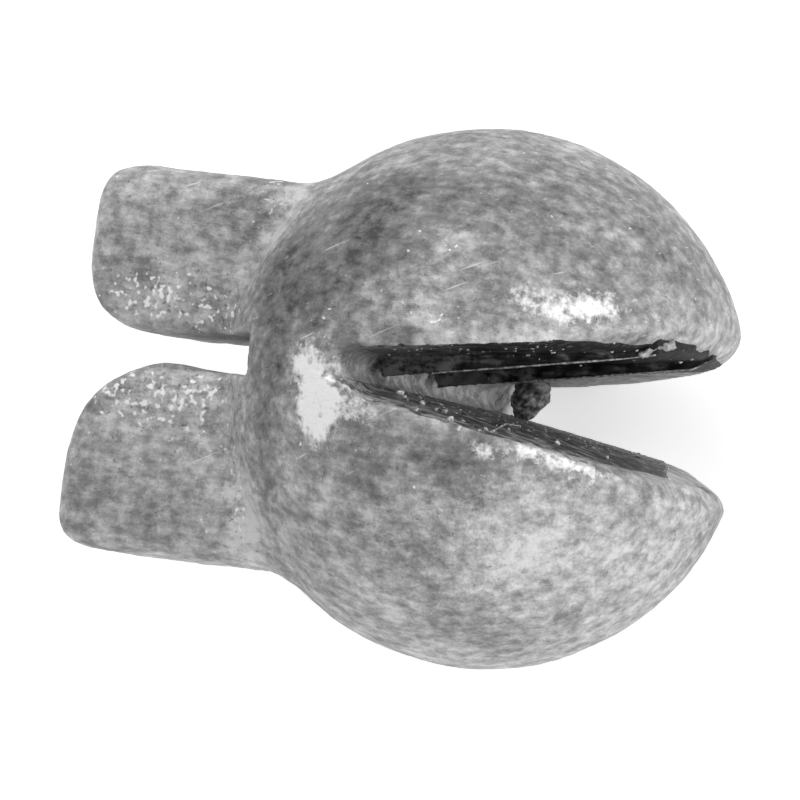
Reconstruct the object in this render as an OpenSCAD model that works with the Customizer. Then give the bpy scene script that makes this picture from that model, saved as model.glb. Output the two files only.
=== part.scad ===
// Removable split-shot sinker: a lead ball split by a V-shaped mouth, with two pinch ears behind it.
// The line lies in the round seat at the mouth's root, along Z. The mouth opens towards +X.
// The left half is on +Y and the right half on -Y. A thin lead web joins them and bends as their hinge.
// The origin is on the axis of the line seat, halfway along it. All lengths are in millimetres.

/* [Ball] */
// Diameter of the ball
ball_d = 10; // [8:0.1:14]
// How far the ball's centre lies in front of the line seat
ball_forward = 1; // [0.4:0.05:1.4]
// How far the left dome's centre stands off the slots' mid-plane
left_dome_shift = 0; // [0:0.05:0.4]
// How far the right dome's centre stands off the slots' mid-plane
right_dome_shift = 0.4; // [0:0.05:0.6]

/* [Mouth] */
// Radius of the line seat, which is also half the web's thickness
seat_r = 0.32; // [0.25:0.01:0.4]
// Angle of the left jaw's face to the mid-plane
left_jaw_angle = 7.8; // [6:0.1:10]
// Angle of the right jaw's face to the mid-plane
right_jaw_angle = 9.2; // [6:0.1:10]
// Rounding of the left lip
left_lip_r = 0.75; // [0.2:0.05:0.9]
// Rounding of the right lip
right_lip_r = 0.6; // [0.2:0.05:0.9]
// How soon the lips' rounding fades out along the mouth's sides
lip_fade = 1.2; // [0.4:0.1:3]
// How far the lips' rounding is set back from the ball's surface
lip_set_back = 0.03; // [0.02:0.01:0.15]

/* [Web] */
// Length of the web, from the seat's axis to the bottom of the ears' slot
web_l = 2.6; // [1.6:0.1:3]
// Length of the crumb of flash left in front of the seat's far end
flash_l = 1; // [0.4:0.1:1.6]
// Distance from the seat's axis to the front of the flash
flash_reach = 0.82; // [0.6:0.02:1.1]
// Clearance between the flash and the right jaw's face
flash_clearance = 0.04; // [0.02:0.01:0.1]

/* [Ears] */
// Distance from the seat's axis to the ears' tips
ear_reach = 7; // [5.6:0.05:9]
// Width of an ear, measured along the line
ear_w = 4; // [3:0.1:5]
// Distance from the mid-plane to the left ear's outer face
left_ear_face = 3.5; // [3:0.05:4]
// Distance from the mid-plane to the right ear's outer face
right_ear_face = 3.95; // [3:0.05:4.2]
// Width of the slot between the ears
ear_gap = 0.62; // [0.4:0.02:1]
// Rounding of the left ear's tip on its outer corner
left_ear_outer_r = 1.15; // [0.3:0.05:1.3]
// Rounding of the right ear's tip on its outer corner
right_ear_outer_r = 0.85; // [0.3:0.05:1.3]
// Rounding of the left ear's tip on the corner beside the slot
left_ear_inner_r = 1.8; // [0.6:0.05:1.9]
// Rounding of the right ear's tip on the corner beside the slot
right_ear_inner_r = 2.2; // [0.6:0.05:2.4]
// Rounding of an ear's long edges
ear_edge_r = 0.95; // [0.3:0.05:1.4]
// Rounding of an ear's tip, seen along the opening direction
ear_tip_r = 1.1; // [0.3:0.05:1.5]

/* [Grip faces] */
// Distance from the seat's axis to the root end of the blade-cut faces
grip_start = 0.5; // [0.45:0.05:1]
// Distance from the seat's axis to the lip end of the blade-cut faces
grip_end = 4.7; // [3:0.1:4.9]
// How far the blade-cut faces stay inside the ball's surface
grip_inset = 0.14; // [0.08:0.02:0.4]
// Height of the left jaw's first step over its face
near_step_h = 0.08; // [0.04:0.01:0.12]
// Height of the left jaw's second step over its face
far_step_h = 0.16; // [0.06:0.01:0.2]
// Height of the right jaw's flat over its face
right_step_h = 0.05; // [0.02:0.01:0.06]
// Place along the line where the first step meets the second
step_split = 1.8; // [0:0.1:2.5]
// Place along the line, on the far side, where the second step ends
step_stop = 2.9; // [1:0.1:3.4]

/* [Hidden] */
$fn = 96;
hull_fn = 32;
// Number of bevels that make up a lip's rounding
lip_facets = 4;
ball_r = ball_d / 2;
gap_half = ear_gap / 2;
ear_half = ear_w / 2;
// Length that surely passes through the whole casting
through = 2 * (ball_d + ear_reach);
// How far each cutter runs past the surface that it cuts
overrun = ball_d / 50;
// Share of a step's height that is left at its lip end
step_taper_share = 0.45;
// Share of the seat's radius by which the web's feather edges are trimmed back
feather_share = 0.25;
// Places along the flash, drops and sizes of its lumps, as shares of its length and of the seat's radius
flash_place_shares = [0.3, 0.6, 1];
flash_drop_shares = [0.1, -0.12, 0.3];
flash_size_shares = [1.2, 1.4, 1];

// Where a jaw's face starts: it touches the seat's circle, and runs on from the web's flat side
function root_x(angle) = -seat_r * tan(angle / 2);

// Height of a jaw's face over the mid-plane, a distance x in front of the seat's axis
function face_y(x, angle) = seat_r + (x - root_x(angle)) * tan(angle);

// How far a dome's centre lies outside its jaw's face, measured square to that face
function face_depth(shift, angle) = seat_r + ball_forward * sin(angle) - shift * cos(angle);

// The ball's surface on one side of the mid-plane
module dome(shift, inset = 0) {
    translate([ball_forward, shift, 0])
        sphere(r = ball_r - inset);
}

// Everything on one side of the mouth, the web and the ears' slot
module side_outline(angle) {
    polygon([
        [-through, gap_half],
        [-web_l, gap_half],
        [-web_l, seat_r],
        [root_x(angle), seat_r],
        [through, face_y(through, angle)],
        [through, through],
        [-through, through]
    ]);
}

// A puck with one bevelled rim, which lies on a jaw's face and rounds the ball off at the lip.
// It is wider than the ball by lip_fade and moved back by as much, so the round fades out at the sides.
module lip_puck(shift, angle, lip_r) {
    depth = face_depth(shift, angle);
    reach = ball_r - lip_r;
    round_at = sqrt(reach * reach - (depth + lip_r) * (depth + lip_r)) + lip_fade;
    translate([ball_forward, shift, 0])
        rotate([0, 0, angle])
            translate([-lip_fade - lip_set_back, depth, 0])
                rotate([-90, 0, 0])
                    rotate_extrude()
                        polygon([
                            [0, 0],
                            for (turn = [0 : lip_facets])
                                let (a = 90 * turn / lip_facets)
                                [round_at + lip_r * sin(a), lip_r * (1 - cos(a))],
                            [round_at + lip_r, ball_d],
                            [0, ball_d]
                        ]);
}

// Half of the ball, from its dome down to the mouth's face
module jaw(shift, angle, lip_r) {
    intersection() {
        dome(shift);
        linear_extrude(height = through, center = true)
            side_outline(angle);
        lip_puck(shift, angle, lip_r);
    }
}

// A bar from x0 on, from y0 to y1, whose two corners at x0 are rounded by r0 and r1
module round_ended(x0, length, y0, y1, r0, r1) {
    translate([x0 + r0, y0])
        square([length - r0, r0]);
    translate([x0, y0 + r0])
        square([length, y1 - y0 - r0 - r1]);
    translate([x0 + r1, y1 - r1])
        square([length - r1, r1]);
    translate([x0 + r0, y0 + r0])
        circle(r = r0);
    translate([x0 + r1, y1 - r1])
        circle(r = r1);
}

// An ear's section across its length: a bar with four rounded edges
module ear_section(face) {
    edge = min(ear_edge_r, ear_half, (face - gap_half) / 2);
    translate([gap_half + edge, -ear_half])
        square([face - gap_half - 2 * edge, ear_w]);
    translate([gap_half, edge - ear_half])
        square([face - gap_half, ear_w - 2 * edge]);
    for (y = [gap_half + edge, face - edge], z = [edge - ear_half, ear_half - edge])
        translate([y, z])
            circle(r = edge);
}

// A pinch ear: a soft-edged stub that ends on the ball's surface
module ear(shift, face, inner_r, outer_r) {
    length = ear_reach + ball_forward;
    difference() {
        intersection() {
            linear_extrude(height = ear_w + overrun, center = true)
                round_ended(-ear_reach, length, gap_half, face, inner_r, outer_r);
            translate([-ear_reach - overrun, 0, 0])
                rotate([90, 0, 90])
                    linear_extrude(height = length)
                        ear_section(face);
            rotate([90, 0, 0])
                linear_extrude(height = through, center = true)
                    round_ended(-ear_reach, length, -ear_half, ear_half, ear_tip_r, ear_tip_r);
        }
        dome(shift);
    }
}

// A wedge that stands on a jaw's face by height at its root and thins out towards the lip
module step(shift, angle, height, z0, z1) {
    tip_h = height * step_taper_share;
    intersection() {
        translate([0, 0, z0])
            linear_extrude(height = z1 - z0)
                polygon([
                    [grip_start, face_y(grip_start, angle)],
                    [grip_start, face_y(grip_start, angle) - height],
                    [grip_end, face_y(grip_end, angle) - tip_h],
                    [grip_end, face_y(grip_end, angle)]
                ]);
        dome(shift, grip_inset);
    }
}

// The space between the jaws' faces in front of the seat, clear of the right one
module mouth_outline() {
    polygon([
        [seat_r, face_y(seat_r, left_jaw_angle)],
        [ball_d, face_y(ball_d, left_jaw_angle)],
        [ball_d, flash_clearance - face_y(ball_d, right_jaw_angle)],
        [seat_r, flash_clearance - face_y(seat_r, right_jaw_angle)]
    ]);
}

module left_jaw() {
    color("darkgray")
        jaw(left_dome_shift, left_jaw_angle, left_lip_r);
}

module left_ear() {
    color("silver")
        ear(left_dome_shift, left_ear_face, left_ear_inner_r, left_ear_outer_r);
}

module left_grip() {
    color("dimgray") {
        step(left_dome_shift, left_jaw_angle, near_step_h, step_split, ball_r);
        step(left_dome_shift, left_jaw_angle, far_step_h, -step_stop, step_split);
    }
}

module hinge_web() {
    color("gray")
        difference() {
            intersection() {
                translate([-web_l, -seat_r, -through / 2])
                    cube([web_l - seat_r * feather_share, 2 * seat_r, through]);
                dome(0);
            }
            cylinder(r = seat_r, h = through, center = true);
        }
}

module seat_flash() {
    far_z = -sqrt(ball_r * ball_r - ball_forward * ball_forward);
    color("dimgray")
        intersection() {
            hull()
                for (i = [0 : len(flash_place_shares) - 1])
                    let (r = seat_r * flash_size_shares[i])
                    translate([flash_reach - r, seat_r * flash_drop_shares[i], far_z + flash_l * flash_place_shares[i]])
                        sphere(r = r, $fn = hull_fn);
            linear_extrude(height = through, center = true)
                mouth_outline();
            dome(0);
        }
}

module right_jaw() {
    color("darkgray")
        mirror([0, 1, 0])
            jaw(right_dome_shift, right_jaw_angle, right_lip_r);
}

module right_ear() {
    color("silver")
        mirror([0, 1, 0])
            ear(right_dome_shift, right_ear_face, right_ear_inner_r, right_ear_outer_r);
}

module right_grip() {
    color("dimgray")
        mirror([0, 1, 0])
            step(right_dome_shift, right_jaw_angle, right_step_h, -step_stop, ball_r);
}

left_jaw();
left_ear();
left_grip();
hinge_web();
seat_flash();
right_jaw();
right_ear();
right_grip();
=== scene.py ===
import math
import bpy
import bmesh
import numpy as np
from mathutils import Matrix, Vector


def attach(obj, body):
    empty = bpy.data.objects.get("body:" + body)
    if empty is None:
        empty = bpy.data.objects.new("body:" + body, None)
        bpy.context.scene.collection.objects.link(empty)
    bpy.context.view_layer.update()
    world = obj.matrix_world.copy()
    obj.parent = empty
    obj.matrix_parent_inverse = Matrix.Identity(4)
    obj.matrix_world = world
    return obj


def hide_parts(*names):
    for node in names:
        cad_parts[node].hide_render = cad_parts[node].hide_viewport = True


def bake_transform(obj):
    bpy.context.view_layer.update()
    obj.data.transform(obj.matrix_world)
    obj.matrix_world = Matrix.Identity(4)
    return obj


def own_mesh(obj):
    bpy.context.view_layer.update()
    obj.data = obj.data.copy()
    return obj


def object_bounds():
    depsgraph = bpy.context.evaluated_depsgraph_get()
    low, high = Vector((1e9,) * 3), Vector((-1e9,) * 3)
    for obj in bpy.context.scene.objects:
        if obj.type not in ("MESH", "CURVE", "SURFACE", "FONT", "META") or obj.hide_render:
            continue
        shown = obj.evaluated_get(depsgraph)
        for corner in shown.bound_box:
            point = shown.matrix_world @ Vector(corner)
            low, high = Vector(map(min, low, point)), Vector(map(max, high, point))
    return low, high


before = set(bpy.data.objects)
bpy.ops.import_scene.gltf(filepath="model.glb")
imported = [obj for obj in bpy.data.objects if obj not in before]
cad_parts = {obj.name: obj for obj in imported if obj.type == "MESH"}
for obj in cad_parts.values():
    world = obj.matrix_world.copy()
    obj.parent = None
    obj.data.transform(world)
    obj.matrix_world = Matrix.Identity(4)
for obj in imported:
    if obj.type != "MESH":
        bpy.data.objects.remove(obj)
cadLow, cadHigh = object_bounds()
print("sinker: packed model loaded, box", [round(v * 1000, 2) for v in cadHigh - cadLow], "mm")

mm = 0.001  # the forms below are worked out in millimetres and turned to metres at the end


# The casting as one field: negative inside the lead, zero on its skin. All of it is in millimetres. Where a
# value has two parts and no note on them, they are for the left half and the right one.
casting = {
    "domes": ((1.03, 0.0, 5.02), (1.09, 0.4, 4.97)),    # ahead of the seat, off the mid-plane, radius
    "seatRadius": 0.32,
    "faceAngles": (7.8, 9.2),    # degrees from the mid-plane
    "lipRounds": (0.72, 0.5),
    "lipFade": 1.2,
    "farDrops": (-0.035, -0.012),    # the faces come forward at the far rim
    "farEnds": ((0.5, 4.6), (2.5, 4.6)),    # away from the camera, where this starts and is full
    "farFades": ((1.4, 3.4), (0, 1.8)),    # towards the lip, where it fades and is gone
    "bevelDrop": 0.22,    # the right face falls away along its near rim
    "bevelReach": 1.6,
    "bevelEnds": (-2.2, -0.5),    # along the line, where this starts and is full
    "bevelRise": (-0.15, 0.35),    # and ahead of the seat
    "lipWear": 0.25,    # the right face's wear at its lip
    "lipWearEnds": (3.4, 5.2),
    "webLength": 2.68,
    "webSink": 0.2,    # how far the web runs into the halves
    "webBlend": 0.02,
    "earReaches": (7.02, 7.03),
    "earHalfWidth": 2.0,
    "earFaces": (3.59, 4.05),
    "earSlots": (0.13, 0.1),
    "earOuterRounds": (1.2, 1.0),
    "earInnerRounds": (1.9, 2.75),
    "earEdgeRound": 0.95,
    "earTipRound": 1.1,
    "earBlends": (0.1, 0.3),    # how softly an ear's end corners meet, and its other faces
    "earRoot": 1.2,    # how far behind the seat an ear ends inside the ball
    "earFillet": 0.42,    # where an ear grows out of the ball
    "slotHalves": (0.46, 0.39),
    "slotTapers": (0.05, 0.06),    # the slot narrows towards the tips
    "slotLength": 2.6,
    "slotCorner": 0.16,
    "slotRim": 0.05,
    "rimRound": 0.06,    # how sharp the mouth's rims are
    "rimWave": (0.5, 1.1),    # a wave's amount and size
    "seatRim": 0.03,
    "rootRound": 0.6,    # how softly the seat's near end runs out into the ball
    "rootEnds": ((3.6, 4.8), (0.2, 0.5), (0.05, 0.4)),    # along the line, off the mid-plane, towards the lip
    "farBurr": -0.03,    # how far the burr at the seat's far end reaches past the seat's axis
    "burrWave": (0.05, 0.4),
    "burrAt": 4.5,
    "burrSlope": (0.78, 0.62),
    "burrPast": 0.02,    # how far it stands out of the ball
    "burrHalf": 0.36,
    "burrRoot": 0.6,
    "burrBlend": 0.06,
    "lipNotch": ((5.5, -1.36, -0.55), 0.13),    # a nick in the right lip: place and radius
    "notchRim": 0.06,
    "gridMargin": 0.2,    # past the ears' tips
    "gridLow": (-5.6, -5.2),
    "gridHigh": (6.3, 5.2, 5.2),
    "gridStep": 0.075,
    "relaxRounds": 3,
}


def smoothMin(a, b, k):
    h = np.clip(0.5 + 0.5 * (b - a) / k, 0, 1)
    return b * (1 - h) + a * h - k * h * (1 - h)


def smoothMax(a, b, k):
    return -smoothMin(-a, -b, k)


def easeStep(value, low, high):
    t = np.clip((value - low) / (high - low), 0, 1)
    return t * t * (3 - 2 * t)


def roundedCorner(a, b, r):
    # quadrant a < 0, b < 0 whose corner is rounded by r
    p, q = a + r, b + r
    both = (p > 0) & (q > 0)
    return np.where(both, np.hypot(p, q), np.maximum(p, q)) - r


def wobble(a, b, wave):
    # an uneven wave of the amount and size in wave, for worn edges
    amount, size = wave
    return amount * ((np.sin(6.3 * a / size + 1.3) * np.sin(4.9 * b / size + 0.4)
                      + 0.6 * np.sin(11.7 * a / size - 7.1 * b / size + 2.2)) / 1.6)


def ballField(x, y, z, c=casting):
    (x0, y0, r0), (x1, y1, r1) = c["domes"]
    t = np.clip(-y / y1, 0, 1)
    inY = y - np.clip(y, -y1, 0)
    return np.sqrt((x - x0 - t * (x1 - x0)) ** 2 + inY ** 2 + z ** 2) - r0 - t * (r1 - r0)


def faceHeight(x, side, c=casting):
    # the mouth's face over the mid-plane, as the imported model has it
    angle = math.radians(c["faceAngles"][side])
    return c["seatRadius"] + (x + c["seatRadius"] * math.tan(angle / 2)) * math.tan(angle)


def faceDrop(x, z, inside, side, c=casting):
    # how far wear takes the face back from there
    far = c["farDrops"][side] * easeStep(-z, *c["farEnds"][side]) * (1 - easeStep(x, *c["farFades"][side]))
    if side == 0:
        return far
    share = np.clip(1 - inside / c["bevelReach"], 0, 1)
    atLip = easeStep(x, *c["lipWearEnds"])
    drop = c["bevelDrop"] * easeStep(z, *c["bevelEnds"]) * (1 - atLip) + c["lipWear"] * atLip
    return drop * share * easeStep(x, *c["bevelRise"]) + far


def jawPlane(side, c=casting):
    # sine and cosine of a jaw face's slope, the middle of its dome, and how far the face lies from that
    angle = math.radians(c["faceAngles"][side])
    ahead, shift, _ = c["domes"][side]
    sine, cosine = math.sin(angle), math.cos(angle)
    return sine, cosine, ahead, shift, c["seatRadius"] + ahead * sine - shift * cosine


def lipLimit(x, v, z, side, c=casting):
    # how far past the start of the lip's round a point on a jaw's face is
    sine, cosine, ahead, shift, depth = jawPlane(side)
    r = c["lipRounds"][side]
    roundAt = math.sqrt((c["domes"][side][2] - r) ** 2 - (depth + r) ** 2) + c["lipFade"]
    u = (x - ahead) * cosine + (v - shift) * sine
    return np.hypot(u + c["lipFade"], z) - roundAt


def lipField(x, v, z, ball, side, c=casting):
    # the jaw's face and the round that takes the ball off at the lip, v measured away from the mid-plane
    sine, cosine, ahead, shift, depth = jawPlane(side)
    r = c["lipRounds"][side]
    w = -(x - ahead) * sine + (v - shift) * cosine
    return roundedCorner(lipLimit(x, v, z, side) - r, depth + faceDrop(x, z, -ball, side) - w, r)


def earField(x, v, z, side, c=casting):
    half, face, gap = c["earHalfWidth"], c["earFaces"][side], c["earSlots"][side]
    tip = -c["earReaches"][side] - x
    slotCorner = roundedCorner(tip, gap - v, c["earInnerRounds"][side])
    outerCorner = roundedCorner(tip, v - face, c["earOuterRounds"][side])
    sideCorner = roundedCorner(tip, np.abs(z) - half, c["earTipRound"])
    middle, reach = (face + gap) / 2, (face - gap) / 2
    section = roundedCorner(np.abs(v - middle) - reach, np.abs(z) - half, c["earEdgeRound"])
    k, soft = c["earBlends"]
    bar = smoothMax(smoothMax(slotCorner, outerCorner, k), smoothMax(sideCorner, section, soft), soft)
    return np.maximum(bar, x + c["earRoot"])


def castingField(x, y, z, c=casting):
    ball = ballField(x, y, z)
    halves = []
    for side, v in ((0, y), (1, -y)):
        rim = c["rimRound"] * (1 + wobble(x, z, c["rimWave"]))
        jaw = smoothMax(ball, lipField(x, v, z, ball, side), rim)
        halves.append(smoothMin(jaw, earField(x, v, z, side), c["earFillet"]))
    lead = np.where(y > 0, *halves)
    web = np.maximum(np.maximum(-c["webLength"] - x, x), np.abs(y) - c["seatRadius"] - c["webSink"])
    lead = smoothMin(lead, smoothMax(ball, web, c["webBlend"]), c["webBlend"])
    along, aside, ahead = c["rootEnds"]
    nearEnd = easeStep(z, *along) * (1 - easeStep(np.abs(y), *aside)) * (1 - easeStep(x, *ahead))
    lead = smoothMax(lead, c["seatRadius"] - np.hypot(x, y), c["seatRim"] + c["rootRound"] * nearEnd)
    slopeX, slopeZ = c["burrSlope"]
    burr = np.maximum(x - c["farBurr"] - wobble(y, z, c["burrWave"]), slopeX * x + slopeZ * (z + c["burrAt"]))
    burr = np.maximum(burr, ball - c["burrPast"])
    burr = np.maximum(burr, np.maximum(np.abs(y) - c["burrHalf"], -c["burrRoot"] - x))
    lead = smoothMin(lead, burr, c["burrBlend"])
    taper = np.where(y > 0, *c["slotTapers"]) * np.clip(-c["webLength"] - x, 0, c["slotLength"])
    slotHalf = np.where(y > 0, *c["slotHalves"])
    slot = roundedCorner(np.abs(y) - slotHalf + taper, x + c["webLength"], c["slotCorner"])
    lead = smoothMax(lead, -slot, c["slotRim"])
    (nx, ny, nz), nick = c["lipNotch"]
    return smoothMax(lead, nick - np.sqrt((x - nx) ** 2 + (y - ny) ** 2 + (z - nz) ** 2), c["notchRim"])


# What the slot blade left on the jaws' faces
blade = {
    # torn fins of the left face: place and lean along the line, the edge's height at the seat, its rises to
    # the lip and at the lip, how fast the back falls away, how far it runs onto the lip
    "fins": (
        {"place": 2.97, "lean": -0.15, "edge": -0.09, "rise": 0.198, "lipRise": 0.05, "back": 0.17,
         "run": 0.5},
        {"place": -0.2, "lean": 0.0, "edge": -0.064, "rise": 0.181, "lipRise": 0.4, "back": 0.22,
         "run": 0.38},
    ),
    "finRoot": -0.08,
    "finRootSlant": 0.45,
    "finRootWave": (0.03, 0.3),    # each wave: amount and size
    "finFrontWave": (0.04, 0.9),
    "finTornWave": (0.015, 0.35),
    "finLipStart": 0.03,
    "wipe": 0.022,    # lead wiped over the face
    "shell": 0.1,    # how deep the wiped skins sink into the casting
    "leftStart": (0.05, -2.6),    # how far ahead of the seat and along the line the left one starts
    "leftEnds": ((-0.5, 0.8, 2.2), (0.3, 0.48, 0.36)),    # along the line, how far it runs onto the left lip
    "endWave": (0.06, 0.8),
    "rightEnd": (-0.15, 4.85, 0.366),    # where the right one stops short of its lip
    "rightEndWave": (0.08, 0.9),
    "seatEnd": -0.17,    # where the right one ends in the seat
    "rimInset": 0.05,
    "rimWave": (0.03, 0.5),
    "leftBox": ((-0.6, -0.4, -3.4), (6.0, 1.8, 5.1)),
    "rightBox": ((-0.2, -2.0, -5.1), (6.0, -0.1, 5.1)),
    "gridStep": 0.04,
}


def wipedField(x, y, z, side, c=blade):
    v = y if side == 0 else -y
    ball = ballField(x, y, z)
    lip = lipField(x, v, z, ball, side)
    lip = np.where((x < 0) & (side == 1), casting["seatRadius"] - np.hypot(x, y), lip)
    past = lipLimit(x, v, z, side) + wobble(y, z, c["endWave"])
    if side == 0:
        end = np.maximum(past - np.interp(z, *c["leftEnds"]), c["leftStart"][0] - x)
    else:
        short, lipAt, slant = c["rightEnd"]
        end = np.maximum(past - short, x - lipAt - slant * z + wobble(z, y, c["rightEndWave"]))
        end = np.maximum(end, c["seatEnd"] - x)
    edge = np.maximum(ball + c["rimInset"] + wobble(x, z, c["rimWave"]), end)
    return np.maximum(np.maximum(lip - c["wipe"], -c["shell"] - lip), edge)


def finEdge(fin, x, y, z):
    # height of a fin's torn edge at its front
    atLip = np.maximum(lipLimit(x, y, z, 0) + blade["finLipStart"], 0)
    return fin["edge"] + fin["rise"] * x + fin["lipRise"] * atLip


def leftBladeField(x, y, z, c=blade):
    # lead wiped over the face, and two thin fins torn from it
    ball = ballField(x, y, z) + c["rimInset"] + wobble(x, z, c["rimWave"])
    lip = lipField(x, y, z, ball, 0)
    skin = np.maximum(wipedField(x, y, z, 0), c["leftStart"][1] - z)
    for fin in c["fins"]:
        front = fin["place"] + fin["lean"] * x
        back = fin["back"] * np.maximum(front - z, 0)
        bottom = finEdge(fin, x, y, z) + back + wobble(x, z, c["finTornWave"])
        root = c["finRoot"] - c["finRootSlant"] * y - x + wobble(y, z, c["finRootWave"])
        sides = np.maximum(root, lipLimit(x, y, z, 0) - fin["run"])
        body = np.maximum(np.maximum(z - front - wobble(x, y, c["finFrontWave"]), bottom - y), sides)
        skin = np.minimum(skin, np.maximum(np.maximum(body, -c["shell"] - lip), ball))
    return skin


# Lumps of lead: each a few balls run together, with a rough skin
lumps = {
    "flash": (((0.52, 0.3, -4.05), 0.33), ((0.46, 0.02, -4.0), 0.31), ((0.42, -0.2, -4.0), 0.2),
              ((0.62, 0.12, -4.15), 0.22), ((0.5, 0.42, -4.1), 0.28)),
    "smear": (((4.85, 0.93, 2.3), 0.05), ((4.96, 0.98, 2.25), 0.07), ((5.07, 1.06, 2.1), 0.08),
              ((5.16, 1.14, 1.93), 0.1), ((5.24, 1.2, 1.78), 0.09)),
    "specks": (((0.57, -0.4, 3.58), 0.07), ((1.34, -0.71, 4.78), 0.06), ((1.21, -0.56, 3.93), 0.05),
               ((1.55, -0.63, 4.1), 0.05), ((1.72, -0.67, 4.09), 0.06), ((2.09, -0.84, 4.74), 0.06),
               ((2.27, -0.94, 4.76), 0.05), ((2.71, -0.92, 4.46), 0.04), ((2.85, -0.84, 3.58), 0.045),
               ((3.69, -0.98, 3.08), 0.06), ((4.42, -1.11, 2.26), 0.045), ((0.75, -0.46, 3.7), 0.045)),
    "boxes": {
        "flash": ((-0.3, -0.7, -4.9), (1.2, 1.0, -3.3)),
        "smear": ((4.5, 0.5, 1.3), (5.6, 1.5, 2.7)),
        "specks": ((0.3, -1.3, 2.0), (4.7, -0.2, 5.0)),
    },
    "blend": 0.08,
    "roughness": 0.035,
    "roughWaves": ((1, 0.32), (0.7, 0.17)),
    "gridStep": 0.035,
    "relaxRounds": 2,    # for the blade's skins too
}


def lumpField(name):
    def field(x, y, z, c=lumps):
        lead = None
        for (cx, cy, cz), r in c[name]:
            one = np.sqrt((x - cx) ** 2 + (y - cy) ** 2 + (z - cz) ** 2) - r
            lead = one if lead is None else smoothMin(lead, one, c["blend"])
        coarse, fine = c["roughWaves"]
        rough = wobble(x + 0.6 * z, y, coarse) + wobble(y - x, z + 0.5 * x, fine)
        return lead + c["roughness"] * rough
    return field


def surfaceOf(field, low, high, step):
    # one point in each grid cell that the skin crosses, and a quad round each grid edge that it crosses
    axes = [np.arange(a, b + step, step) for a, b in zip(low, high)]
    values = field(*np.meshgrid(*axes, indexing="ij"))
    inside = values < 0
    corners = [(i, j, k) for i in (0, 1) for j in (0, 1) for k in (0, 1)]
    n = [s - 1 for s in values.shape]
    count = sum(inside[i:i + n[0], j:j + n[1], k:k + n[2]].astype(np.int8) for i, j, k in corners)
    cells = np.argwhere((count > 0) & (count < 8))
    index = np.full(n, -1, np.int64)
    index[tuple(cells.T)] = np.arange(len(cells))
    total, hits = np.zeros((len(cells), 3)), np.zeros(len(cells))
    for a in corners:
        for axis in range(3):
            if a[axis]:
                continue
            b = list(a)
            b[axis] = 1
            va = values[tuple((cells + a).T)]
            vb = values[tuple((cells + b).T)]
            cross = (va < 0) != (vb < 0)
            t = np.where(cross, va / np.where(cross, va - vb, 1), 0)
            point = np.array(a, float) + np.outer(t, np.array(b) - np.array(a))
            total += point * cross[:, None]
            hits += cross
    points = np.array([a[0] for a in axes]) + (cells + total / hits[:, None]) * step
    quads = []
    for axis in range(3):
        one, two = [a for a in range(3) if a != axis]
        first = np.take(inside, range(n[axis]), axis)
        second = np.take(inside, range(1, n[axis] + 1), axis)
        edges = np.argwhere(first != second)
        within = [(edges[:, a] > 0) & (edges[:, a] < n[a]) for a in (one, two)]
        edges = edges[within[0] & within[1]]
        around = []
        for da, db in ((0, 0), (-1, 0), (-1, -1), (0, -1)):
            at = edges.copy()
            at[:, one] += da
            at[:, two] += db
            around.append(index[tuple(at.T)])
        quad = np.stack(around, 1)
        flip = first[tuple(edges.T)] == (axis == 1)
        quad[flip] = quad[flip][:, ::-1]
        quads.append(quad)
    return points, np.concatenate(quads)


def settleOn(field, points, quads, step, rounds):
    # evens the points out along the skin and puts each exactly on it
    passes, nudge, leastSlope, ease = 3, 0.002, 0.05, 0.5
    links = np.concatenate([quads[:, [0, 1]], quads[:, [1, 2]], quads[:, [2, 3]], quads[:, [3, 0]]])
    for turn in range(rounds + 1):
        for _ in range(passes):
            x, y, z = points.T
            f = field(x, y, z)
            g = [field(x + nudge, y, z) - f, field(x, y + nudge, z) - f, field(x, y, z + nudge) - f]
            g = np.stack(g, 1) / nudge
            move = (f / np.maximum((g ** 2).sum(1), leastSlope))[:, None] * g
            points = points - np.clip(move, -step, step)
        if turn < rounds:
            total, hits = np.zeros_like(points), np.zeros(len(points))
            for a, b in ((0, 1), (1, 0)):
                np.add.at(total, links[:, a], points[links[:, b]])
                np.add.at(hits, links[:, a], 1)
            points = points + ease * (total / hits[:, None] - points)
    return points


def addObject(name, data):
    thing = bpy.data.objects.new(name, data)
    bpy.context.scene.collection.objects.link(thing)
    return thing


def meshFrom(name, points, edges, faces):
    mesh = bpy.data.meshes.new(name)
    mesh.from_pydata([tuple(p) for p in points * mm], edges, faces)
    mesh.validate()
    mesh.shade_smooth()
    return mesh


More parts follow.
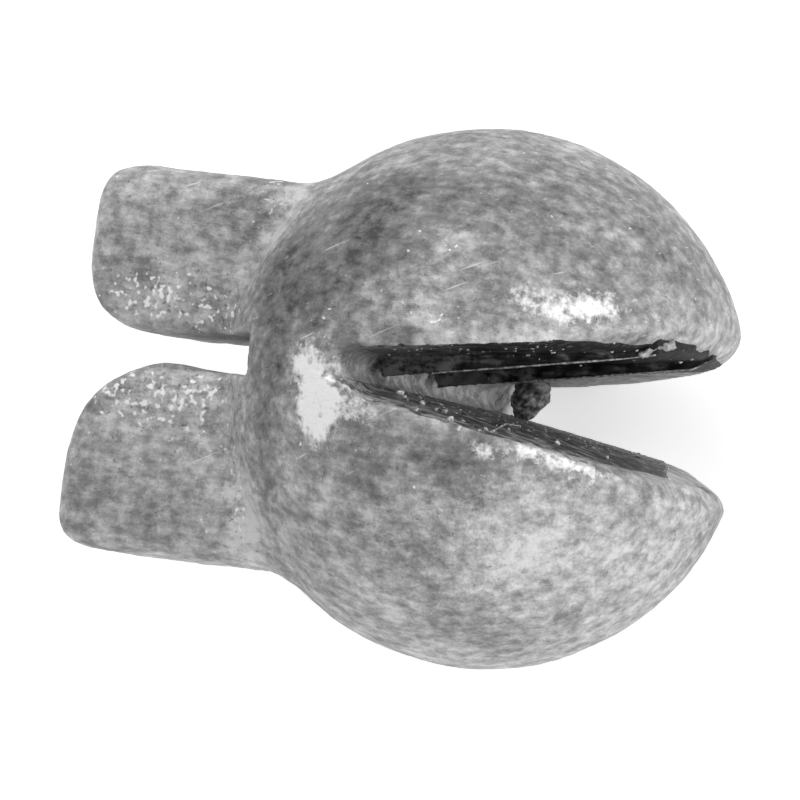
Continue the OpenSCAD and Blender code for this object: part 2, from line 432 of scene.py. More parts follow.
# Worn and dirty places on the casting, with painted light, shade and glints: centre and reach in mm, and how
# strong
marks = {
    "rubbed_and_highlight": (    # rubbed bright by handling, and painted highlights on the lips and painted light in the mouth
        ((-1.05, -0.1, 4.5), (0.36, 0.42, 0.9), 1.0),
        ((-0.68, -0.85, 4.62), (0.4, 0.62, 0.9), 1.6),
        ((0.1, -0.8, 4.85), (0.75, 0.4, 0.9), 0.6),
        # painted highlight on the left lip
        ((3.65, 1.5, 3.91), (0.6, 0.42, 0.9), 0.6),
        ((4.3, 1.69, 3.44), (0.5, 0.4, 0.9), 0.68),
        ((3.0, 1.66, 4.24), (0.4, 0.3, 0.9), 0.45),
        # painted highlight on the right lip
        ((2.74, -1.3, 4.59), (0.33, 0.2, 0.8), 0.75),
        # painted light at the seat's far end and along the web's front in the mouth
        ((-0.15, 0.03, -4.45), (0.3, 0.45, 0.5), 1.5),
        ((-0.2, 0.0, -1.0), (0.5, 0.36, 5.5), 0.58),
        # painted highlights along the right lip
        ((5.2, -1.28, 0.9), (0.25, 0.12, 0.5), 0.65),
        ((3.47, -1.19, 4.28), (0.33, 0.22, 0.8), 0.66),
        ((4.11, -1.33, 3.83), (0.55, 0.28, 0.8), 0.66),
        ((4.79, -1.48, 3.11), (0.5, 0.25, 0.8), 0.45),
        ((5.72, -1.45, 0.9), (0.3, 0.25, 0.6), 0.55),
    ),
    "glint_flecks": (    # painted glints: extra bright flecks on the ears, by the seat and on the left jaw
        ((-5.6, 1.1, 1.9), (0.9, 0.55, 0.9), 1.0),
        ((-4.2, 0.8, 1.9), (1.0, 0.6, 0.9), 1.0),
        ((-5.6, -1.0, 1.9), (1.0, 0.6, 0.9), 0.8),
        ((-4.2, -0.9, 1.9), (1.3, 0.8, 0.9), 0.9),
        ((-0.6, -0.5, 4.6), (0.8, 1.2, 0.9), 0.9),
        ((-3.3, 3.0, 1.6), (0.45, 0.7, 0.9), 0.8),
        ((-3.0, -2.6, 2.1), (0.3, 1.2, 0.9), 0.8),
        ((4.1, 1.6, 3.6), (1.3, 0.5, 0.9), 0.5),
        ((1.6, 1.2, 4.7), (1.3, 0.5, 0.9), 0.4),
        ((1.3, 2.6, 4.26), (0.6, 0.3, 0.9), 0.4),
    ),
    "oxide_and_shade": (    # dark oxide in the hollows, and painted shade at the ears' necks, over the left dome and in the right lip's nick
        ((-2.1, 1.4, 3.7), (0.8, 1.3, 1.2), 1.0),
        ((-1.3, 2.0, 4.0), (1.0, 0.8, 1.2), 0.9),
        ((-1.95, -0.5, 3.9), (0.45, 0.9, 1.2), 0.6),
        ((0.94, 0.66, 4.97), (0.35, 0.2, 0.6), 0.9),
        ((1.39, -1.6, 4.83), (1.3, 0.5, 1.2), 0.3),
        ((2.3, -1.77, 4.62), (0.6, 0.5, 1.2), 0.25),
        ((-0.1, 2.5, 4.22), (1.1, 0.6, 1.2), 0.45),
        ((-0.85, 1.3, 4.49), (0.8, 0.9, 1.0), 0.6),
        ((-0.5, 2.5, 4.05), (0.8, 0.8, 1.0), 0.7),
        ((0.4, 3.55, 3.5), (1.6, 0.6, 1.2), 0.8),
        ((4.3, 3.5, 1.5), (0.9, 0.8, 1.2), 0.5),
        ((1.7, -1.65, 4.77), (1.5, 0.5, 1.0), 0.2),
        ((-1.9, -1.9, 3.5), (0.4, 1.0, 1.0), 0.4),
        # painted shadow in the nick of the right lip
        ((5.42, -1.38, -0.7), (0.1, 0.1, 0.3), 3.0),
    ),
    "pale": (    # painted light: paler where the ears join the ball, on the ears and lips, over the right dome and on the web in the mouth
        ((-2.75, 3.0, 2.0), (0.4, 0.9, 1.0), 1.3),
        ((-2.7, -2.9, 2.4), (0.3, 1.3, 1.2), 1.1),
        ((4.2, -2.9, 2.8), (2.2, 1.3, 2.2), 0.8),
        ((3.4, 0.85, 4.2), (2.4, 0.3, 1.0), 0.6),
        ((-0.2, 0.0, -1.0), (0.5, 0.36, 5.5), 1.0),
        ((-0.1, 0.0, -4.6), (0.3, 0.4, 0.4), 1.0),
        ((-5.0, 1.9, 1.9), (2.2, 1.8, 2.5), 0.2),
        ((-4.8, -2.2, 1.9), (2.2, 2.2, 2.5), 0.3),
        ((5.1, -1.3, 0.6), (0.5, 0.25, 2.5), 0.4),
    ),
}


def markStrength(name, points, c=marks):
    strength = np.zeros(len(points))
    for centre, reach, amount in c[name]:
        away = (points - np.array(centre)) / np.array(reach)
        strength += amount * np.exp(-(away ** 2).sum(1))
    return np.clip(strength, 0, 1)


# Materials
def srgb(code):
    code = code.lstrip("#")
    parts = [int(code[i:i + 2], 16) / 255 for i in (0, 2, 4)]
    return tuple(p / 12.92 if p <= 0.04045 else ((p + 0.055) / 1.055) ** 2.4 for p in parts) + (1.0,)


nodeGrid = {"row": 8, "across": 200, "down": 350}    # nodes to a row of the editor, and how far apart


def addNode(tree, kind, links=(), values=(), **settings):
    # adds a node with its properties, its input values and its links from output sockets
    row, column = divmod(len(tree.nodes), nodeGrid["row"])
    node = tree.nodes.new(kind)
    node.location = (column * nodeGrid["across"], -row * nodeGrid["down"])
    for key, value in settings.items():
        setattr(node, key, value)
    for key, value in values:
        node.inputs[key].default_value = value
    for key, socket in links:
        tree.links.new(socket, node.inputs[key])
    return node


def newMaterial(name):
    material = bpy.data.materials.new(name)
    material.use_nodes = True
    material.node_tree.nodes.clear()
    return material, material.node_tree


def endMaterial(tree, colour, height, bump, values, links=()):
    strength, deep = bump
    bumped = addNode(tree, "ShaderNodeBump", [("Height", height)],
                     [("Strength", strength), ("Distance", deep * mm)])
    shader = addNode(tree, "ShaderNodeBsdfPrincipled",
                     [("Base Color", colour), ("Normal", bumped.outputs["Normal"]), *links], values)
    addNode(tree, "ShaderNodeOutputMaterial", [("Surface", shader.outputs[0])])


def rampStops(ramp, stops):
    ramp.color_ramp.elements.remove(ramp.color_ramp.elements[1])
    for i, (at, code) in enumerate(stops):
        stop = ramp.color_ramp.elements[0] if i == 0 else ramp.color_ramp.elements.new(at)
        stop.position = at
        stop.color = srgb(code)


castLead = {
    "darkest": "#363636",
    "dull": "#848484",
    "body": "#a8a8a8",
    "pale": "#d2d2d2",
    # the colour of scratches and rubbed places, and of painted highlights and glints
    "bright": "#fafafa",
    "stops": (0.28, 0.62, 0.78, 0.98),    # where the first four stand on the scale of tones
    "patterns": {    # size in mm, detail, roughness
        "cloud": (1.9, 2.0, 0.5),         # clouds of oxide
        "mottle": (0.25, 5.0, 0.75),      # mottling down to a sand-like grain
        "drawn": (0.16, 3.0, 0.6),        # streaks drawn by handling, measured across
        "pit": (0.1, 1.0, 0.5),           # pinholes
        "crystal_glint": (0.13, 1.0, 0.5),      # crystal faces and painted glints, a little coarser than real
        "scratch": (0.07, 0.0, 0.5),      # scratches, measured across
    },
    "island": (0.4, 0.35, 0.25),    # mm, pale islands with darker lead between: size, softness, how far bent
    "drawnWay": (8, (0.3, 1.0, 0.7)),    # degrees, and how much finer along each axis
    "scratchWay": (28, (24.0, 1.0, 3.0)),    # degrees, and how much longer along each axis
    "tone": -0.13,    # the tone starts here, and each of these adds its share
    # the marks darken the tone with oxide and painted shade, and pale it with painted light
    "shares": {"mottle": 0.95, "cloud": 0.5, "drawn": 0.5, "island": -0.22, "oxide_and_shade": -0.31, "pale": 0.16},
    "fine": {    # the noise it follows, where it starts and is full, how strong, and what brings it out
        "pit": ("pit", 0.7, 0.8, 0.5, {"glint_flecks": 0.1}),
        "crystal_glint": ("crystal_glint", 0.76, 0.86, 0.85, {"glint_flecks": 0.22}),
        "scratch": ("scratch", 0.8, 0.88, 0.4, {"oxide_and_shade": 0.05}),
        "rubbed_and_highlight": ("crystal_glint", 2.3, 2.95, 0.97, {"rubbed_and_highlight": 1.45, "mottle": 2.4}),
    },
    "metallic": 0.3,
    "roughness": (0.55, 0.35),    # of the oxide and of bright lead
    "raised": 0.5,    # how far the crystal faces stand up from the tone's bumps
    "bump": (0.9, 0.05),    # strength, mm
}


def makeCastLead(c=castLead):
    # Soft lead as it left the mould and lay about: a dull oxide skin, cloudy and mottled, with pinholes,
    # bright crystal faces where it broke or was cut, and places rubbed bright, with painted highlights,
    # glints, light and shade. It gives a low, broken sheen.
    material, tree = newMaterial("as-cast lead")
    where = addNode(tree, "ShaderNodeTexCoord").outputs["Object"]
    source = {mark: addNode(tree, "ShaderNodeAttribute", attribute_name=mark).outputs["Fac"]
              for mark in marks}
    way = {}
    for name, kind in (("drawn", "POINT"), ("scratch", "TEXTURE")):
        angle, scale = c[name + "Way"]
        way[name] = addNode(tree, "ShaderNodeMapping", [("Vector", where)],
                            [("Rotation", (0, 0, math.radians(angle))), ("Scale", scale)], vector_type=kind)
    for name, (size, detail, rough) in c["patterns"].items():
        vector = way[name].outputs[0] if name in way else where
        noise = addNode(tree, "ShaderNodeTexNoise", [("Vector", vector)],
                        [("Scale", 1 / (size * mm)), ("Detail", detail), ("Roughness", rough)])
        source[name] = noise.outputs["Fac"]
        if name == "mottle":
            mottle = noise
    size, soft, bend = c["island"]
    bent = addNode(tree, "ShaderNodeVectorMath", [(0, mottle.outputs["Color"]), (2, where)],
                   [(1, (bend * mm,) * 3)], operation="MULTIPLY_ADD")
    island = addNode(tree, "ShaderNodeTexVoronoi", [("Vector", bent.outputs[0])],
                     [("Scale", 1 / (size * mm)), ("Smoothness", soft)], feature="SMOOTH_F1")
    source["island"] = island.outputs["Distance"]

    # the oxide's tone
    tone = None
    for name, share in c["shares"].items():
        before = [(2, tone)] if tone else []
        tone = addNode(tree, "ShaderNodeMath", [(0, source[name])] + before, [(1, share), (2, c["tone"])],
                       operation="MULTIPLY_ADD").outputs[0]
    oxide = addNode(tree, "ShaderNodeValToRGB", [("Fac", tone)])
    rampStops(oxide, zip(c["stops"], (c["darkest"], c["dull"], c["body"], c["pale"])))

    # pinholes, crystal faces with painted glints, scratches, and rubbed places with painted highlights
    shown = {}
    for name, (base, start, full, strength, added) in c["fine"].items():
        level = source[base]
        for other, share in added.items():
            level = addNode(tree, "ShaderNodeMath", [(0, source[other]), (2, level)], [(1, share)],
                            operation="MULTIPLY_ADD").outputs[0]
        shown[name] = addNode(tree, "ShaderNodeMapRange", [("Value", level)],
                              [("From Min", start), ("From Max", full), ("To Max", strength)]).outputs[0]
    light = shown["crystal_glint"]
    for name in ("scratch", "rubbed_and_highlight"):
        light = addNode(tree, "ShaderNodeMath", [(0, light), (1, shown[name])],
                        operation="MAXIMUM").outputs[0]
    pitted = addNode(tree, "ShaderNodeMix", [("Factor", shown["pit"]), ("A", oxide.outputs["Color"])],
                     [("B", srgb(c["darkest"]))], data_type="RGBA")
    colour = addNode(tree, "ShaderNodeMix", [("Factor", light), ("A", pitted.outputs[2])],
                     [("B", srgb(c["bright"]))], data_type="RGBA", clamp_factor=True)
    gloss = addNode(tree, "ShaderNodeMapRange", [("Value", light)],
                    [("To Min", c["roughness"][0]), ("To Max", c["roughness"][1])])
    height = addNode(tree, "ShaderNodeMath", [(0, source["crystal_glint"]), (2, tone)], [(1, c["raised"])],
                     operation="MULTIPLY_ADD")
    endMaterial(tree, colour.outputs[2], height.outputs[0], c["bump"], [("Metallic", c["metallic"])],
                [("Roughness", gloss.outputs[0])])
    return material


bladeLead = {
    # near-black tones, partly painted shade in the narrow mouth between the jaws
    "left": ("#0c0c0c", "#222222", "#686868"),    # dark, dull and worn
    "right": ("#3c3c3c", "#6c6c6c", "#b0b0b0"),
    "stops": (0.2, 0.27, 0.4),
    "stroke": (-10, (0.12, 1, 1)),    # degrees, and how much finer the streaks are along each axis
    "patterns": {    # size in mm, detail, roughness
        "streak": (0.1, 3.0, 0.5),
        "smudge": (0.3, 4.0, 0.7),
        "speck": (0.09, 1.0, 0.5),
    },
    "frost": {"left": 0.3, "right": 0.1},
    # painted shade: the tone darkens towards the lip
    "lip_shade": {"left": 0.08, "right": 0.08},
    "fades": {"frost": (2.4, 0.6), "lip_shade": (4.2, 5.0)},    # mm from the seat, where each starts and is full
    "roughness": 0.6,
    "sheen": {"left": 0.25, "right": 0.4},    # the left one is duller
    "bump": (0.5, 0.04),    # strength, mm
}


def makeBladeLead(side, c=bladeLead):
    # Lead wiped by the slot blade: nearly black, partly as painted shade between the jaws, and slightly
    # glossy, with streaks along the stroke, grey smudges, and painted shade towards the lip.
    material, tree = newMaterial("blade-wiped lead, " + side)
    where = addNode(tree, "ShaderNodeTexCoord").outputs["Object"]
    angle, scale = c["stroke"]
    stretch = addNode(tree, "ShaderNodeMapping", [("Vector", where)],
                      [("Rotation", (0, 0, math.radians(angle))), ("Scale", scale)])
    noise = {}
    for name, (size, detail, rough) in c["patterns"].items():
        vector = stretch.outputs[0] if name == "streak" else where
        found = addNode(tree, "ShaderNodeTexNoise", [("Vector", vector)],
                        [("Scale", 1 / (size * mm)), ("Detail", detail), ("Roughness", rough)])
        noise[name] = found.outputs["Fac"]
    across = addNode(tree, "ShaderNodeSeparateXYZ", [("Vector", where)]).outputs["X"]
    fade = {}
    for name, (start, full) in c["fades"].items():
        fade[name] = addNode(tree, "ShaderNodeMapRange", [("Value", across)],
                             [("From Min", start * mm), ("From Max", full * mm),
                              ("To Max", c[name][side])]).outputs[0]
    frost = addNode(tree, "ShaderNodeMath", [(0, noise["speck"]), (1, fade["frost"])], operation="MULTIPLY")
    both = noise["streak"]
    # the streaks times the smudges, with the frost added and the painted shade at the lip taken off
    steps = ((noise["smudge"], "MULTIPLY"), (frost.outputs[0], "ADD"), (fade["lip_shade"], "SUBTRACT"))
    for socket, operation in steps:
        both = addNode(tree, "ShaderNodeMath", [(0, both), (1, socket)], operation=operation).outputs[0]
    tone = addNode(tree, "ShaderNodeValToRGB", [("Fac", both)])
    rampStops(tone, zip(c["stops"], c[side]))
    endMaterial(tree, tone.outputs["Color"], both, c["bump"],
                [("Roughness", c["roughness"]), ("Specular IOR Level", c["sheen"][side])])
    return material


tornLead = {
    "body": "#7c7c7c",
    "pale": "#dcdcdc",
    "stops": (0.4, 0.62),
    "grain": (0.08, 3.0),    # size in mm, detail
    "metallic": 0.3,
    "roughness": 0.5,
    "bump": (0.5, 0.03),
}


def makeTornLead(c=tornLead):
    # Fresh lead where the blade tore it: paler than the oxide skin and finely broken, in burrs and crumbs.
    # along the fins' edges this pale lead also paints their highlight
    material, tree = newMaterial("torn lead")
    where = addNode(tree, "ShaderNodeTexCoord").outputs["Object"]
    grain = addNode(tree, "ShaderNodeTexNoise", [("Vector", where)],
                    [("Scale", 1 / (c["grain"][0] * mm)), ("Detail", c["grain"][1])])
    tone = addNode(tree, "ShaderNodeValToRGB", [("Fac", grain.outputs["Fac"])])
    rampStops(tone, zip(c["stops"], (c["body"], c["pale"])))
    endMaterial(tree, tone.outputs["Color"], grain.outputs["Fac"], c["bump"],
                [("Metallic", c["metallic"]), ("Roughness", c["roughness"])])
    return material


castLeadSkin = makeCastLead()
leftWipedLead = makeBladeLead("left")
rightWipedLead = makeBladeLead("right")
tornLeadSkin = makeTornLead()
print("sinker: materials made")


def newTree(name, inputs, lengths=()):
    # a Geometry Nodes tree with a geometry and named numbers as its inputs, and its lengths in metres
    tree = bpy.data.node_groups.new(name, "GeometryNodeTree")
    kinds = {"Geometry": "NodeSocketGeometry", "Seed": "NodeSocketInt"}
    for label in ("Geometry", *inputs):
        tree.interface.new_socket(label, in_out="INPUT", socket_type=kinds.get(label, "NodeSocketFloat"))
    tree.interface.new_socket("Geometry", in_out="OUTPUT", socket_type="NodeSocketGeometry")
    given = dict(addNode(tree, "NodeGroupInput").outputs.items())
    for label in lengths:
        given[label] = addNode(tree, "ShaderNodeMath", [(0, given[label])], [(1, mm)],
                               operation="MULTIPLY").outputs[0]
    return tree, given


def endTree(tree, geometry, material):
    real = addNode(tree, "GeometryNodeRealizeInstances", [("Geometry", geometry)])
    painted = addNode(tree, "GeometryNodeSetMaterial", [("Geometry", real.outputs[0])],
                      [("Material", material)])
    addNode(tree, "NodeGroupOutput", [("Geometry", painted.outputs[0])])
    return tree


# Relief of the mould's wall, in mm: low dents and a fine grain, pushed out along the skin
relief = {
    "Dent height": 0.05,
    "Dent size": 1.3,
    "Grain height": 0.022,
    "Grain size": 0.22,
    "Seed": 7,
}
reliefNoise = {"Detail": 3.0, "Roughness": 0.5}


def reliefTree(material):
    tree, given = newTree("mould wall relief", relief)
    where = addNode(tree, "GeometryNodeInputPosition").outputs[0]
    normal = addNode(tree, "GeometryNodeInputNormal").outputs[0]
    heights = []
    for name in ("Dent", "Grain"):
        scale = addNode(tree, "ShaderNodeMath", [(1, given[name + " size"])], [(0, 1 / mm)],
                        operation="DIVIDE")
        noise = addNode(tree, "ShaderNodeTexNoise",
                        [("Vector", where), ("W", given["Seed"]), ("Scale", scale.outputs[0])],
                        reliefNoise.items(), noise_dimensions="4D")
        centred = addNode(tree, "ShaderNodeMath", [(0, noise.outputs["Fac"])], [(1, 0.5)],
                          operation="SUBTRACT")
        height = addNode(tree, "ShaderNodeMath", [(0, centred.outputs[0]), (1, given[name + " height"])],
                         operation="MULTIPLY")
        heights.append(height.outputs[0])
    both = addNode(tree, "ShaderNodeMath", [(0, heights[0]), (1, heights[1])], operation="ADD")
    metres = addNode(tree, "ShaderNodeMath", [(0, both.outputs[0])], [(1, 2 * mm)], operation="MULTIPLY")
    push = addNode(tree, "ShaderNodeVectorMath", [(0, normal), ("Scale", metres.outputs[0])],
                   operation="SCALE")
    moved = addNode(tree, "GeometryNodeSetPosition",
                    [("Geometry", given["Geometry"]), ("Offset", push.outputs[0])])
    return endTree(tree, moved.outputs[0], material)


# Crumbs of torn lead sprinkled over a blade-wiped face by Geometry Nodes
crumbs = {
    "Density": 5.0,    # to the square millimetre
    "Smallest": 0.012,    # mm, radius
    "Largest": 0.04,
    "Seed": 11,
}
crumbShape = {
    "rarity": 3.0,    # the higher, the fewer large ones
    "narrowest": (0.6, 0.6, 0.6),
    "widest": (1.5, 1.1, 1.1),
    "leastLook": 0.45,    # how squarely a face has to look that way for crumbs to lie on it
    "leftLook": (0.1, -0.75, 0.6),
    "rightLook": (0.1, 0.9, 0.3),
}


def crumbTree(material, look, c=crumbShape):
    tree, given = newTree("lead crumbs", crumbs, ("Smallest", "Largest"))
    normal = addNode(tree, "GeometryNodeInputNormal").outputs[0]
    facing = addNode(tree, "ShaderNodeVectorMath", [(0, normal)], [(1, look)], operation="DOT_PRODUCT")
    openFaces = addNode(tree, "FunctionNodeCompare", [("A", facing.outputs["Value"])],
                        [("B", c["leastLook"])], data_type="FLOAT", operation="GREATER_THAN")
    density = addNode(tree, "ShaderNodeMath", [(0, given["Density"])], [(1, 1 / mm ** 2)],
                      operation="MULTIPLY")
    spread = addNode(tree, "GeometryNodeDistributePointsOnFaces",
                     [("Mesh", given["Geometry"]), ("Selection", openFaces.outputs[0]),
                      ("Density", density.outputs[0]), ("Seed", given["Seed"])])
    chance = addNode(tree, "FunctionNodeRandomValue", [("Seed", given["Seed"])], data_type="FLOAT")
    rare = addNode(tree, "ShaderNodeMath", [(0, chance.outputs[1])], [(1, c["rarity"])], operation="POWER")
    size = addNode(tree, "ShaderNodeMapRange", [("Value", rare.outputs[0]),
                   ("To Min", given["Smallest"]), ("To Max", given["Largest"])])
    stretch = addNode(tree, "FunctionNodeRandomValue", [], [(0, c["narrowest"]), (1, c["widest"])],
                      data_type="FLOAT_VECTOR")
    scale = addNode(tree, "ShaderNodeVectorMath", [(0, stretch.outputs[0]), ("Scale", size.outputs[0])],
                    operation="SCALE")
    crumb = addNode(tree, "GeometryNodeMeshIcoSphere", [], [("Radius", 1.0), ("Subdivisions", 1)])
    placed = addNode(tree, "GeometryNodeInstanceOnPoints",
                     [("Points", spread.outputs["Points"]), ("Instance", crumb.outputs["Mesh"]),
                      ("Rotation", spread.outputs["Rotation"]), ("Scale", scale.outputs[0])])
    return endTree(tree, placed.outputs[0], material)


# Burrs: a torn thread of pale lead along each edge that the blade left; along the fins' edges it also paints
# their highlight
burrs = {
    "Thickness": 0.019,    # mm
    "Unevenness": 0.7,
    "Step": 0.05,
    "Seed": 3,
}
burrShape = {
    "waveSize": 0.3,    # mm, how quickly a thread swells and thins
    "waveDetail": 3.0,
    "mean": 0.25,    # the wave's middle, and how much it is raised
    "raise": 4.0,
    "thinnest": 0.004,    # mm
    "sides": 6,
}
burrLines = {
    "points": 40,
    "finEdges": {"left_near_burr": (0, 0.9, 5.1), "left_far_burr": (1, 1.7, 5.2)},    # fin, start, end
    "faceLines": {    # start and end on the right face, across the mouth and along the line
        "right_burr": ((2.9, -1.6), (4.55, -1.0)),
        "right_cross_burr": ((2.8, 4.4), (2.3, 1.4)),
    },
}


def finLine(index, start, end):
    fin = blade["fins"][index]
    x = np.linspace(start, end, burrLines["points"])
    z = fin["place"] + fin["lean"] * x
    flat = fin["edge"] + fin["rise"] * x    # the edge before its rise at the lip
    return np.stack([x, finEdge(fin, x, flat, z), z], 1)


def faceLine(start, end):
    x, z = np.linspace(start, end, burrLines["points"]).T
    y = -faceHeight(x, 1)
    for _ in range(3):    # the wear depends on the depth in the ball, which depends on the wear
        y = -faceHeight(x, 1) - faceDrop(x, z, -ballField(x, y, z), 1)
    return np.stack([x, y + blade["wipe"], z], 1)


def burrTree(material, c=burrShape):
    tree, given = newTree("burr along an edge", burrs, ("Step", "Thickness"))
    path = addNode(tree, "GeometryNodeMeshToCurve", [("Mesh", given["Geometry"])])
    dense = addNode(tree, "GeometryNodeResampleCurve",
                    [("Curve", path.outputs[0]), ("Length", given["Step"])], mode="LENGTH")
    where = addNode(tree, "GeometryNodeInputPosition").outputs[0]
    noise = addNode(tree, "ShaderNodeTexNoise", [("Vector", where), ("W", given["Seed"])],
                    [("Scale", 1 / (c["waveSize"] * mm)), ("Detail", c["waveDetail"])], noise_dimensions="4D")
    swing = addNode(tree, "ShaderNodeMath", [(0, noise.outputs["Fac"])], [(1, 0.5)], operation="SUBTRACT")
    swing = addNode(tree, "ShaderNodeMath", [(0, swing.outputs[0]), (1, given["Unevenness"])],
                    [(2, c["mean"])], operation="MULTIPLY_ADD")
    swing = addNode(tree, "ShaderNodeMath", [(0, swing.outputs[0])], [(1, c["raise"])], operation="MULTIPLY")
    radius = addNode(tree, "ShaderNodeMath", [(0, swing.outputs[0]), (1, given["Thickness"])],
                     operation="MULTIPLY")
    radius = addNode(tree, "ShaderNodeMath", [(0, radius.outputs[0])], [(1, c["thinnest"] * mm)],
                     operation="MAXIMUM")
    profile = addNode(tree, "GeometryNodeCurvePrimitiveCircle", [],
                      [("Resolution", c["sides"]), ("Radius", 1.0)])
    tube = addNode(tree, "GeometryNodeCurveToMesh",
                   [("Curve", dense.outputs[0]), ("Profile Curve", profile.outputs[0]),
                    ("Scale", radius.outputs[0])], [("Fill Caps", True)])
    return endTree(tree, tube.outputs[0], material)


def bakeTree(piece, tree, inputs):
    # runs a Geometry Nodes tree on a piece and keeps the result as a plain mesh
    modifier = piece.modifiers.new(tree.name, "NODES")
    modifier.node_group = tree
    for item in tree.interface.items_tree:
        if item.in_out == "INPUT" and item.name in inputs:
            modifier[item.identifier] = inputs[item.name]
    bpy.context.view_layer.update()
    shaped = bpy.data.meshes.new_from_object(piece.evaluated_get(bpy.context.evaluated_depsgraph_get()))
    piece.modifiers.remove(modifier)
    old = piece.data
    piece.data = shaped
    bpy.data.meshes.remove(old)
    return piece


def cutAway(mesh, planes):
    # keeps what lies in front of each (height, sign) plane across Y, and closes the cuts
    work = bmesh.new()
    work.from_mesh(mesh)
    for height, sign in planes:
        geometry = work.verts[:] + work.edges[:] + work.faces[:]
        cut = bmesh.ops.bisect_plane(work, geom=geometry, dist=1e-8, plane_co=(0, height * mm, 0),
                                     plane_no=(0, sign, 0), clear_inner=True)
        rim = [e for e in cut["geom_cut"] if isinstance(e, bmesh.types.BMEdge) and e.is_boundary]
        made = bmesh.ops.holes_fill(work, edges=rim)["faces"]
        for face in made:
            face.smooth = False
            for edge in face.edges:
                edge.smooth = False
        bmesh.ops.triangulate(work, faces=made)
    result = bpy.data.meshes.new("cut")
    work.to_mesh(result)
    work.free()
    return result


def pieceFrom(name, mesh, material):
    mesh.name = name
    if not mesh.materials:
        mesh.materials.append(material)
    return addObject(name, mesh)


def fieldPiece(name, field, box, step, material, grain=None):
    points, quads = surfaceOf(field, *box, step)
    points = settleOn(field, points, quads, step, lumps["relaxRounds"])
    piece = pieceFrom(name, meshFrom(name, points, [], quads.tolist()), material)
    if grain:
        bakeTree(piece, reliefTree(material), grain)
    return piece


# The casting is cut apart inside the web's thickness
split = {
    "cut": 0.22,    # mm from the mid-plane
    "bendAt": -1.3,    # mm, where the bend runs across the web
}

low = (-casting["earReaches"][0] - casting["gridMargin"], *casting["gridLow"])
points, quads = surfaceOf(castingField, low, casting["gridHigh"], casting["gridStep"])
points = settleOn(castingField, points, quads, casting["gridStep"], casting["relaxRounds"])
whole = addObject("casting", meshFrom("casting", points, [], quads.tolist()))
for name in marks:
    layer = whole.data.attributes.new(name, "FLOAT", "POINT")
    layer.data.foreach_set("value", markStrength(name, points).astype(np.float32))
bakeTree(whole, reliefTree(castLeadSkin), relief)
print("sinker: casting made,", len(whole.data.polygons), "faces")

cut = split["cut"]
leftHalf = pieceFrom("left_half_skin", cutAway(whole.data, [(cut, 1)]), castLeadSkin)
rightHalf = pieceFrom("right_half_skin", cutAway(whole.data, [(-cut, -1)]), castLeadSkin)
web = pieceFrom("web_skin", cutAway(whole.data, [(-cut, 1), (cut, -1)]), castLeadSkin)
bpy.data.objects.remove(whole)
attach(leftHalf, "left_half")
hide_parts("left_jaw", "left_ear")
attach(rightHalf, "right_half")
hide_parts("right_jaw", "right_ear")
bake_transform(web)
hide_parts("hinge_web")
print("sinker: halves and web cut apart")

# The blade's traces. The left ones are soft fins, which the closing mouth of the real sinker presses flat
# against their face.
wornGrain = {"Dent height": 0.02, "Dent size": 0.5, "Grain height": 0.012, "Grain size": 0.12, "Seed": 5}
leftBlade = fieldPiece("left_blade_fins", leftBladeField, blade["leftBox"], blade["gridStep"], leftWipedLead,
                       wornGrain)
rightBlade = fieldPiece("right_blade_face", lambda x, y, z: wipedField(x, y, z, 1), blade["rightBox"],
                        blade["gridStep"], rightWipedLead, wornGrain)
# the flash lump wears the dark right-hand blade-wiped lead, partly as painted shade at the seat's far end
flash, smear = (fieldPiece(name, lumpField(lump), lumps["boxes"][lump], lumps["gridStep"], material)
                for name, lump, material in (("flash_lump", "flash", rightWipedLead),
                                             ("left_rim_smear", "smear", castLeadSkin)))
leftCrumbs, rightCrumbs = (
    bakeTree(addObject(name, face.data.copy()), crumbTree(tornLeadSkin, crumbShape[look]), crumbs)
    for name, face, look in (("left_lead_crumbs", leftBlade, "leftLook"),
                             ("right_lead_crumbs", rightBlade, "rightLook")))
lines = {name: finLine(*ends) for name, ends in burrLines["finEdges"].items()}
lines.update({name: faceLine(*ends) for name, ends in burrLines["faceLines"].items()})
threads = {}
for name, line in lines.items():
    links = [(i, i + 1) for i in range(len(line) - 1)]
    thread = addObject(name, meshFrom(name, line, links, []))
    threads[name] = bakeTree(thread, burrTree(tornLeadSkin), burrs)
specks = fieldPiece("right_lead_specks", lumpField("specks"), lumps["boxes"]["specks"], lumps["gridStep"],
                    tornLeadSkin)
leftSide = [leftBlade, flash, smear, leftCrumbs, threads["left_near_burr"], threads["left_far_burr"]]
rightSide = [rightBlade, rightCrumbs, specks, threads["right_burr"], threads["right_cross_burr"]]
for piece in leftSide:
    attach(piece, "left_half")
    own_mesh(piece)
for piece in rightSide:
    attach(piece, "right_half")
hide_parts("left_grip")
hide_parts("right_grip")
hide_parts("seat_flash")
print("sinker: blade traces made,", [len(p.data.polygons) for p in leftSide + rightSide], "faces")


# Studio: pale floor under the ball, soft lamps, and the photograph's camera
studio = {
    "azimuth": 20.1,    # degrees from the line's axis towards the lips
    "elevation": -1.83,    # towards the right jaw
    "roll": 7.38,
    "pixelsPerMm": 51.9,
    "origin": (437.0, 383.7),    # where the line seat's middle falls in the 800 pixel frame
    "frame": 800,
    "distance": 0.25,    # metres, as the next ones
    "clip": (0.01, 2),
    "sensor": 36,    # mm
    "floorHalf": 1,
    "card": "#f4f4f4",
    "cardLift": 0.55,
    "worldGrey": "#ffffff",
    "worldStrength": 0.5,
    "backdrop": "#ffffff",
    "lamps": {    # across, up and towards the camera in metres, then power in watts and size
        "top lamp": (-0.12, 0.25, 0.08, 0.26, 0.14),
        "lip lamp": (0.24, 0.03, 0.15, 0.36, 0.12),
        "low lamp": (0.06, -0.24, 0.1, 0.16, 0.14),
    },
}


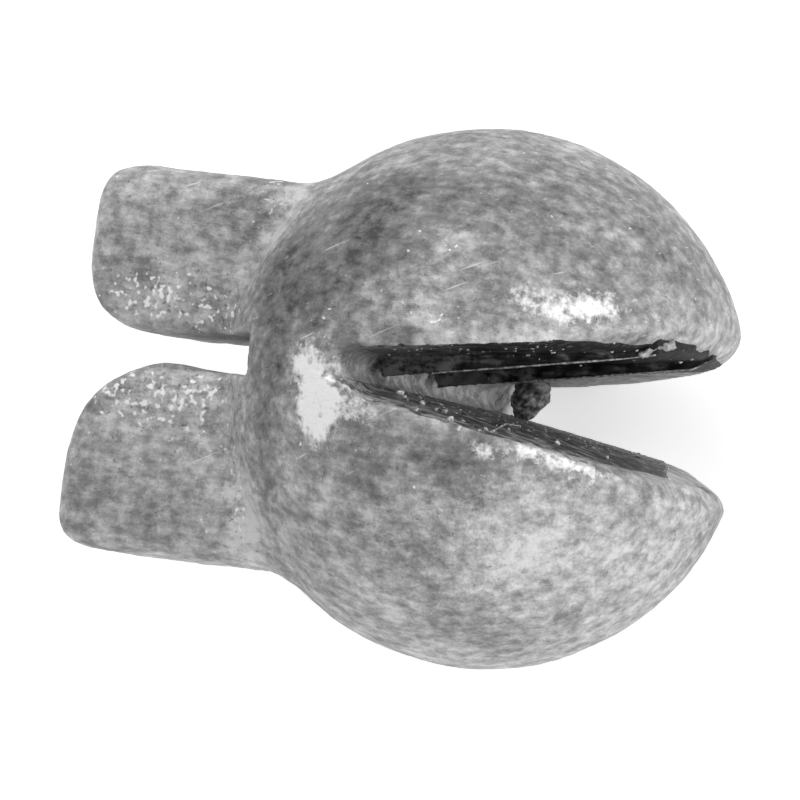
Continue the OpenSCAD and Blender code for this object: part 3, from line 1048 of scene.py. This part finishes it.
def makeCamera(c=studio):
    a, e, roll = (math.radians(c[k]) for k in ("azimuth", "elevation", "roll"))
    toCamera = Vector((math.sin(a) * math.cos(e), math.sin(e), math.cos(a) * math.cos(e)))
    right = Vector((math.cos(a), 0, -math.sin(a)))
    up = toCamera.cross(right)
    camRight = right * math.cos(roll) + up * math.sin(roll)
    camUp = -right * math.sin(roll) + up * math.cos(roll)
    width = c["frame"] / c["pixelsPerMm"] * mm
    data = bpy.data.cameras.new("photo camera")
    data.sensor_width = c["sensor"]
    data.lens = c["sensor"] * c["distance"] / width
    data.clip_start, data.clip_end = c["clip"]
    centre = (c["frame"] / 2 - c["origin"][0]) * camRight - (c["frame"] / 2 - c["origin"][1]) * camUp
    centre *= mm / c["pixelsPerMm"]
    camera = addObject("photo camera", data)
    basis = Matrix((camRight, camUp, toCamera)).transposed().to_4x4()
    camera.matrix_world = Matrix.Translation(centre + toCamera * c["distance"]) @ basis
    bpy.context.scene.camera = camera
    return camRight, camUp, toCamera


def addLamp(name, place, power, size):
    data = bpy.data.lights.new(name, "AREA")
    data.energy, data.shape, data.size = power, "DISK", size
    lamp = addObject(name, data)
    lamp.location = place
    lamp.rotation_mode = "QUATERNION"
    lamp.rotation_quaternion = Vector(place).to_track_quat("Z", "Y")


def backgroundRay(tree):
    # 1 for what the camera sees straight or by way of metal or glass
    path = addNode(tree, "ShaderNodeLightPath")
    seen = path.outputs["Is Camera Ray"]
    for name in ("Is Glossy Ray", "Is Transmission Ray"):
        seen = addNode(tree, "ShaderNodeMath", [(0, seen), (1, path.outputs[name])],
                       operation="MAXIMUM").outputs[0]
    return seen


def makeFloor(c=studio):
    # a white card that takes the sinker's shadow, lifted to white elsewhere
    material, tree = newMaterial("white card")
    card = addNode(tree, "ShaderNodeBsdfDiffuse", [], [("Color", srgb(c["card"]))])
    lift = addNode(tree, "ShaderNodeMath", [(0, backgroundRay(tree))], [(1, c["cardLift"])],
                   operation="MULTIPLY")
    glow = addNode(tree, "ShaderNodeEmission", [("Strength", lift.outputs[0])])
    both = addNode(tree, "ShaderNodeAddShader", [(0, card.outputs[0]), (1, glow.outputs[0])])
    addNode(tree, "ShaderNodeOutputMaterial", [("Surface", both.outputs[0])])
    half, z = c["floorHalf"], cadLow.z
    mesh = bpy.data.meshes.new("floor")
    corners = [(-half, -half, z), (half, -half, z), (half, half, z), (-half, half, z)]
    mesh.from_pydata(corners, [], [(0, 1, 2, 3)])
    mesh.materials.append(material)
    addObject("floor", mesh)


def makeWorld(c=studio):
    world = bpy.data.worlds.new("studio")
    bpy.context.scene.world = world
    world.use_nodes = True
    tree = world.node_tree
    tree.nodes.clear()
    soft = addNode(tree, "ShaderNodeBackground", [],
                   [("Color", srgb(c["worldGrey"])), ("Strength", c["worldStrength"])])
    white = addNode(tree, "ShaderNodeBackground", [], [("Color", srgb(c["backdrop"])), ("Strength", 1.0)])
    mixed = addNode(tree, "ShaderNodeMixShader",
                    [(0, backgroundRay(tree)), (1, soft.outputs[0]), (2, white.outputs[0])])
    addNode(tree, "ShaderNodeOutputWorld", [("Surface", mixed.outputs[0])])


camRight, camUp, toCamera = makeCamera()
makeFloor()
makeWorld()
for name, (across, upward, forward, power, size) in studio["lamps"].items():
    addLamp(name, camRight * across + camUp * upward + toCamera * forward, power, size)
bpy.context.scene.view_settings.view_transform = "Standard"
print("sinker: studio set up")
